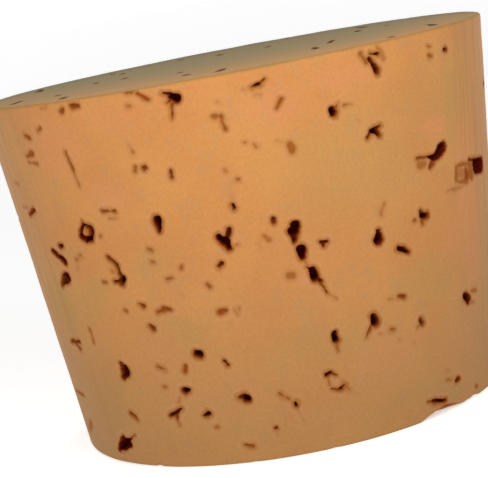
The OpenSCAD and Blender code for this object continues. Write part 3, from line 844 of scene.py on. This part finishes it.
def side_wanted(points):
    """The longest side that the mesh may have at points of the smooth body."""
    side = field(points, on_body(points)[1])[0]
    side = np.minimum(side, FINE_RIM + np.abs(past_chip(points)[0]))
    for middle, width, _, _ in knocks():
        outside = np.linalg.norm(points - middle, axis=1) - width / 2
        side = np.minimum(side, FINE_RIM + np.maximum(outside, 0.0))
    return side


# Strips of the map for baking: the front half of the wall, the back half, and both ends side by side. A half
# takes a little more than 90 degrees to each side, as its last triangles reach past them
MAP_FRONT, MAP_BACK, MAP_ENDS = (0.61, 0.995), (0.36, 0.6), 0.35
MAP_TURN = 94.0
MAP_EDGE = 0.005


def baking_map(surface, normals, faces):
    """Two coordinates for each corner of each triangle, from its place on the smooth body."""
    corner = surface[faces]
    middle, normal = corner.mean(axis=1), normals[faces].mean(axis=1)
    width, place = 1.0 - 2 * MAP_EDGE, np.zeros(corner.shape[:2] + (2,))
    turn = angles(middle)
    for centre, strip in ((0.0, MAP_FRONT), (180.0, MAP_BACK)):
        away = wrapped(turn - centre)
        here = (np.abs(normal[:, 2]) < END_LEAN) & (np.abs(away) <= 90.0)
        near = away[here, None]
        angle = wrapped(angles(corner[here]) - centre - near) + near
        place[here, :, 0] = MAP_EDGE + width * (angle + MAP_TURN) / (2 * MAP_TURN)
        place[here, :, 1] = between(strip, corner[here, :, 2] / LENGTH)
    scale = (MAP_ENDS / 2 - MAP_EDGE) / TOP_R
    for centre_u, way in ((0.25, 1.0), (0.75, -1.0)):
        here = normal[:, 2] * way >= END_LEAN
        place[here, :, 0] = centre_u + scale * corner[here, :, 0]
        place[here, :, 1] = MAP_ENDS / 2 + scale * corner[here, :, 1] * way
    return place.reshape(-1, 2)


def stopper_mesh():
    """The dressed body: the smooth one with its pores, marks, chip and knocks pressed in."""
    points, faces = refine(*first_mesh(), side_wanted)
    surface, normals = on_body(points)
    _, depth, dark, lip = field(surface, normals)
    # Painted shade: the chip's facets are darkened like a shadowed hollow
    dark = np.maximum(dark, CHIP_SHADE * smooth(*CHIP_EDGE, past_chip(surface)[0]))
    uneven = SURFACE_DEPTH * (1 + noise(surface, *SURFACE_WAVES))
    shaped = broken_rims(surface) - (depth + uneven)[:, None] * normals
    shaped[:, 2] = np.clip(shaped[:, 2], 0.0, LENGTH)

    mesh = bpy.data.meshes.new("cork_stopper")
    mesh.from_pydata((shaped * MM).tolist(), [], faces.tolist())
    mesh.update()
    mesh.shade_smooth()
    places = baking_map(surface, normals, faces)
    mesh.uv_layers.new(name="OFBake").data.foreach_set("uv", places.astype(np.float32).ravel())
    # The pink patches hold a painted highlight along the narrow rim besides real patches
    olive, pink = patches_at(surface, OLIVE_PATCHES), patches_at(surface, PINK_PATCHES_AND_HIGHLIGHT)
    for name, values in (("dark", dark), ("lip", lip), ("olive", olive), ("pink", pink)):
        made = mesh.attributes.new(name, "FLOAT", "POINT")
        made.data.foreach_set("value", values.astype(np.float32))
    return mesh


# ---------------- material


class Tree:
    """Short ways to add nodes to a material. An input may be a socket, a number or a colour."""

    def __init__(self, material):
        material.use_nodes = True
        self.nodes, self.links = material.node_tree.nodes, material.node_tree.links
        self.shader = self.nodes["Principled BSDF"]

    def put(self, socket, value):
        """Links a socket, or sets a number or a colour."""
        if isinstance(value, bpy.types.NodeSocket):
            self.links.new(value, socket)
        elif isinstance(value, tuple) and len(value) == 3 and socket.type == "RGBA":
            socket.default_value = (*value, 1.0)
        else:
            socket.default_value = value

    def attribute(self, name):
        """A number that each point of the mesh holds."""
        made = self.nodes.new("ShaderNodeAttribute")
        made.attribute_name = name
        return made.outputs["Fac"]

    def math(self, operation, *values):
        made = self.nodes.new("ShaderNodeMath")
        made.operation = operation
        for socket, value in zip(made.inputs, values):
            self.put(socket, value)
        return made.outputs[0]

    def times(self, a, b):
        return self.math("MULTIPLY", a, b)

    def scaled(self, vector, factors):
        made = self.nodes.new("ShaderNodeVectorMath")
        made.operation = "MULTIPLY"
        self.put(made.inputs[0], vector)
        made.inputs[1].default_value = factors
        return made.outputs[0]

    def noise(self, vector, factors, detail, rough):
        made = self.nodes.new("ShaderNodeTexNoise")
        self.put(made.inputs["Vector"], self.scaled(vector, factors))
        made.inputs["Scale"].default_value = 1.0
        made.inputs["Detail"].default_value = detail
        made.inputs["Roughness"].default_value = rough
        return made.outputs["Fac"]

    def ramp(self, value, low, high):
        """0 below low, 1 above high and an easy curve between them."""
        made = self.nodes.new("ShaderNodeMapRange")
        made.interpolation_type = "SMOOTHSTEP"
        self.put(made.inputs["Value"], value)
        made.inputs["From Min"].default_value = low
        made.inputs["From Max"].default_value = high
        return made.outputs["Result"]

    def mix(self, share, a, b, blend="MIX"):
        made = self.nodes.new("ShaderNodeMix")
        made.data_type = "RGBA"
        made.blend_type = blend
        self.put(made.inputs["Factor"], share)
        self.put(made.inputs["A"], a)
        self.put(made.inputs["B"], b)
        return made.outputs["Result"]


# Colours of the wall
TAN = (0.51, 0.223, 0.065)
RUSSET = (0.49, 0.203, 0.06)
OLIVE = (0.37, 0.22, 0.1)
GREENISH = (0.405, 0.222, 0.068)
PINKISH = (0.53, 0.215, 0.082)
# Painted shade: the wall's colour low down, where less light falls
LOW_SHADE = (0.285, 0.162, 0.062)
STREAK = (0.3, 0.14, 0.05)
# Colours of the ends, from the front of the rim to the back, and of their bands. Front to back is painted
# light and shade over the ends' own olive tone: lit tan in front, darker towards the back
END_FRONT_LIT = (0.4, 0.195, 0.052)
END_MIDDLE = (0.25, 0.18, 0.064)
END_BACK_SHADE = (0.17, 0.145, 0.052)
END_GREEN = (0.205, 0.185, 0.06)
END_PINK = (0.29, 0.17, 0.08)
# Colours of the lip of a pore and of the slits in the ends. A slit's colour is its own dark fill with painted
# shade of its hollow
LIP = (0.5, 0.24, 0.12)
END_PORE = (0.095, 0.062, 0.028)
# Colours of linings from brown to maroon, each with the darkness at which it starts and is full. Marks take
# them as stains; in pores they are partly the pores' own dark fill and partly painted shade of the hollow
LININGS_AND_SHADE = [
    ((0.0, 0.5), (0.28, 0.088, 0.012)),
    ((0.45, 0.75), (0.24, 0.043, 0.004)),
    ((0.7, 1.0), (0.085, 0.003, 0.001)),
]
# The light and dark of the grain, which is laid over the colours
GRAIN_DARK, GRAIN_LIGHT = (0.15, 0.15, 0.15), (1.0, 1.0, 1.0)

# How fast each noise changes along x, y and z for each millimetre, its detail and its roughness. The cork
# grew in layers across y
CLOUDS = (0.14, 0.14, 0.14), 2.0, 0.5
BLOTCHES = (0.55, 0.55, 0.55), 3.0, 0.6
GRAIN = (3.2, 3.2, 3.2), 3.0, 0.65
LAYERS = (0.07, 1.5, 0.07), 3.0, 0.6
BANDS = (0.06, 0.22, 0.06), 2.0, 0.6

# Where a noise starts to bring in the next colour and where that is full, and how strong it gets
TO_RUSSET = (0.35, 0.65)
TO_OLIVE, BLOTCH_STRENGTH = (0.5, 0.72), 0.35
TO_STREAK, STREAK_STRENGTH = (0.45, 0.7), 0.5
TO_GREEN, TO_PINK, BAND_STRENGTH = (0.45, 0.65), (0.45, 0.3), 0.35
TO_LIGHT, GRAIN_STRENGTH = (0.2, 0.8), 0.11
# The same for the place: the share of the radius across, the height, the depth below an end's face,
# and the distance from the front and the back of the wide rim
# The flanks turn greyer olive: partly their own tone, partly painted shade and sheen of the sides turned from
# the front
TO_FLANK, FLANK_TONE_AND_SHADE = (0.65, 1.05), 0.6
# Painted shade: the wall darkens towards the narrow end, where less light falls
TO_LOW_SHADE, LOW_SHADE_STRENGTH = (26.0, 0.0), 0.55
TO_WALL = (0.0, 0.4)
# Painted light and shade: an end lighter at the front, where the lamp falls, and darker towards the back
TO_MIDDLE, TO_BACK_SHADE = (-4.0, 26.0), (16.0, 0.0)
# The same for how dark the lining of a slit is
TO_END_PORE = (0.1, 0.5)
# Roughness of the wall and what ends and linings add to it, the gloss, and the grain's bump
ROUGH, ROUGHER, GLOSS = 0.7, 0.28, 0.1
BUMP_DEPTH, BUMP_STRENGTH = 0.03, 0.6


def wall_colour(t, mm, z, flank):
    """Tan to russet with olive blotches and patches; greyer on the flanks, partly their own tone and partly
    painted shade and sheen; and darker low down, which is painted shade.
    """
    colour = t.mix(t.ramp(t.noise(mm, *CLOUDS), *TO_RUSSET), TAN, RUSSET)
    blotches = t.ramp(t.noise(mm, *BLOTCHES), *TO_OLIVE)
    colour = t.mix(t.times(blotches, BLOTCH_STRENGTH), colour, OLIVE)
    # Greyer olive on the flanks: partly their own tone, partly painted shade and sheen
    colour = t.mix(t.times(flank, FLANK_TONE_AND_SHADE), colour, OLIVE)
    colour = t.mix(t.attribute("olive"), colour, GREENISH)
    colour = t.mix(t.attribute("pink"), colour, PINKISH)
    # Painted shade: darker low down, where less light falls
    return t.mix(t.times(t.ramp(z, *TO_LOW_SHADE), LOW_SHADE_STRENGTH), colour, LOW_SHADE)


def end_colour(t, mm, x, y):
    """Tan at the front of the rim and olive towards the back, with faint bands. The change from front to back
    is painted light and shade over the ends' own olive tone.
    """
    rim_y = t.math("SQRT", t.math("MAXIMUM", t.math("SUBTRACT", TOP_R ** 2, t.times(x, x)), 0.0))
    colour = t.mix(t.ramp(t.math("ADD", rim_y, y), *TO_MIDDLE), END_FRONT_LIT, END_MIDDLE)
    colour = t.mix(t.ramp(t.math("SUBTRACT", rim_y, y), *TO_BACK_SHADE), colour, END_BACK_SHADE)
    bands = t.noise(mm, *BANDS)
    colour = t.mix(t.times(t.ramp(bands, *TO_GREEN), BAND_STRENGTH), colour, END_GREEN)
    return t.mix(t.times(t.ramp(bands, *TO_PINK), BAND_STRENGTH), colour, END_PINK)


def with_growth(t, mm, colour, across):
    """Adds streaks of growth where the surface cuts across the layers."""
    layers = t.ramp(t.noise(mm, *LAYERS), *TO_STREAK)
    return t.mix(t.times(layers, t.times(across, STREAK_STRENGTH)), colour, STREAK)


def with_pores(t, colour, dark, end_share):
    """Adds the lips and the linings of pores: stains where marks lie, and in pores their own dark fill with
    painted shade of the hollow.
    """
    colour = t.mix(t.attribute("lip"), colour, LIP)
    for limits, lining_and_shade in LININGS_AND_SHADE:
        colour = t.mix(t.ramp(dark, *limits), colour, lining_and_shade)
    return t.mix(t.times(end_share, t.ramp(dark, *TO_END_PORE)), colour, END_PORE)


def cork_material():
    mat = bpy.data.materials.new("cork")
    t = Tree(mat)
    mm = t.scaled(t.nodes.new("ShaderNodeTexCoord").outputs["Object"], (1 / MM,) * 3)
    split = t.nodes.new("ShaderNodeSeparateXYZ")
    t.put(split.inputs[0], mm)
    x, y, z = split.outputs
    grain = t.noise(mm, *GRAIN)
    dark = t.attribute("dark")

    # How far the surface belongs to an end, to a flank, and to either, where it cuts across the layers
    to_end = t.math("MINIMUM", z, t.math("SUBTRACT", LENGTH, z))
    end_share = t.math("SUBTRACT", 1.0, t.ramp(to_end, *TO_WALL))
    radius = t.math("SQRT", t.math("ADD", t.times(x, x), t.times(y, y)))
    flank = t.ramp(t.math("DIVIDE", t.math("ABSOLUTE", x), radius), *TO_FLANK)
    across = t.math("MAXIMUM", end_share, flank)

    colour = t.mix(end_share, wall_colour(t, mm, z, flank), end_colour(t, mm, x, y))
    colour = with_growth(t, mm, colour, across)
    grain_colour = t.mix(t.ramp(grain, *TO_LIGHT), GRAIN_DARK, GRAIN_LIGHT)
    colour = t.mix(GRAIN_STRENGTH, colour, grain_colour, "SOFT_LIGHT")
    t.put(t.shader.inputs["Base Color"], with_pores(t, colour, dark, end_share))
    rough = t.math("ADD", ROUGH, t.times(t.math("MAXIMUM", end_share, dark), ROUGHER))
    t.put(t.shader.inputs["Roughness"], rough)
    t.shader.inputs["Specular IOR Level"].default_value = GLOSS

    bump = t.nodes.new("ShaderNodeBump")
    bump.inputs["Distance"].default_value = BUMP_DEPTH * MM
    bump.inputs["Strength"].default_value = BUMP_STRENGTH
    t.put(bump.inputs["Height"], grain)
    t.put(t.shader.inputs["Normal"], bump.outputs["Normal"])
    return mat


stopper = bpy.data.objects.new("cork_stopper", stopper_mesh())
bpy.context.scene.collection.objects.link(stopper)
stopper.data.materials.append(cork_material())
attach(stopper, "root")
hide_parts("stopper")

# ---------------- floor, light and camera

scene = bpy.context.scene
scene.view_settings.view_transform = "Standard"

WHITE = (1, 1, 1, 1)
# The floor: half its side in metres, how pale and rough it is, and a glow that keeps it near white
FLOOR_HALF = 4
FLOOR_COLOUR, FLOOR_ROUGH, FLOOR_GLOW = (0.8, 0.8, 0.8, 1), 0.9, 0.5
# How strong the surroundings light surfaces. To the camera and in reflections they are fully white
WORLD_FILL = 0.08
# How soft the distant lights are in degrees, and each one's azimuth, elevation and strength
SUN_SPREAD = 25.0
SUNS = [
    ("key_left", -55, 12, 0.12),
    ("key_right", 50, 12, 0.08),
    ("back_left", 205, 16, 0.45),
    ("back_right", 155, 16, 0.45),
]
# The near light: its place, target, width, height and strength, and how far off in metres a surface that
# faces it gets that
LAMP_PLACE, LAMP_TARGET = (6, -84, 84), (0, -20, 34)
LAMP_W, LAMP_H = 220, 30
LAMP_STRENGTH, LAMP_REACH = 1.22, 0.1


def pale_floor():
    h = FLOOR_HALF
    mesh = bpy.data.meshes.new("floor")
    mesh.from_pydata([(-h, -h, 0), (h, -h, 0), (h, h, 0), (-h, h, 0)], [], [(0, 1, 2, 3)])
    floor = bpy.data.objects.new("floor", mesh)
    scene.collection.objects.link(floor)
    mat = bpy.data.materials.new("floor")
    mat.use_nodes = True
    shader = mat.node_tree.nodes["Principled BSDF"]
    for name, value in (
        ("Base Color", FLOOR_COLOUR), ("Roughness", FLOOR_ROUGH),
        ("Emission Color", WHITE), ("Emission Strength", FLOOR_GLOW),
    ):
        shader.inputs[name].default_value = value
    mesh.materials.append(mat)


def studio_world():
    """White to the camera and in reflections, and dimmer as a source of light."""
    world = bpy.data.worlds.new("studio")
    scene.world = world
    world.use_nodes = True
    nodes, links = world.node_tree.nodes, world.node_tree.links
    background = nodes["Background"]
    background.inputs["Color"].default_value = WHITE
    ray = nodes.new("ShaderNodeLightPath")
    strength = nodes.new("ShaderNodeMapRange")
    strength.inputs["To Min"].default_value = 1.0
    strength.inputs["To Max"].default_value = WORLD_FILL
    links.new(ray.outputs["Is Diffuse Ray"], strength.inputs["Value"])
    links.new(strength.outputs["Result"], background.inputs["Strength"])


def sun(name, azimuth, elevation, strength):
    """A soft distant light that comes from this azimuth, from the front towards +X, and elevation."""
    data = bpy.data.lights.new(name, "SUN")
    data.energy, data.angle = strength * math.pi, math.radians(SUN_SPREAD)
    light = bpy.data.objects.new(name, data)
    a, e = math.radians(azimuth), math.radians(elevation)
    come_from = Vector((math.sin(a) * math.cos(e), -math.cos(a) * math.cos(e), math.sin(e)))
    light.rotation_euler = come_from.to_track_quat("Z", "Y").to_euler()
    scene.collection.objects.link(light)


def near_lamp():
    """A soft near light, level and wide, in front of the stopper and above it."""
    data = bpy.data.lights.new("near_key", "AREA")
    data.shape, data.size, data.size_y = "RECTANGLE", LAMP_W * MM, LAMP_H * MM
    data.energy = LAMP_STRENGTH * math.pi * math.pi * LAMP_REACH ** 2
    light = bpy.data.objects.new("near_key", data)
    light.location = Vector(LAMP_PLACE) * MM
    light.rotation_euler = (Vector(LAMP_TARGET) - Vector(LAMP_PLACE)).to_track_quat("-Z", "Y").to_euler()
    scene.collection.objects.link(light)


pale_floor()
studio_world()
for named in SUNS:
    sun(*named)
near_lamp()

# The photograph's camera: found from both rims and the left limb, and turned round the axis until the pores
# agree
IMAGE_W = 488
SENSOR_MM = 36.0
FOCAL_PX = 1649.4
NEAREST = 0.01
CAMERA_D, CAMERA_H = 178.28, 46.38
CAMERA_TURN = math.radians(0.35)
YAW, PITCH, ROLL = math.radians(-0.71) - CAMERA_TURN, math.radians(8.906), math.radians(-10.816)
CAMERA_AT = Vector((CAMERA_D * math.sin(CAMERA_TURN), -CAMERA_D * math.cos(CAMERA_TURN), CAMERA_H)) * MM


def photo_camera():
    ahead = Vector((math.sin(YAW) * math.cos(PITCH), math.cos(YAW) * math.cos(PITCH), -math.sin(PITCH)))
    level = Vector((math.cos(YAW), -math.sin(YAW), 0.0))
    above = level.cross(ahead)
    right = math.cos(ROLL) * level + math.sin(ROLL) * above
    up = right.cross(ahead)
    data = bpy.data.cameras.new("camera")
    data.sensor_width = SENSOR_MM
    data.lens = FOCAL_PX / IMAGE_W * SENSOR_MM
    data.clip_start = NEAREST
    made = bpy.data.objects.new("camera", data)
    made.matrix_world = Matrix.Translation(CAMERA_AT) @ Matrix((right, up, -ahead)).transposed().to_4x4()
    scene.collection.objects.link(made)
    scene.camera = made


photo_camera()
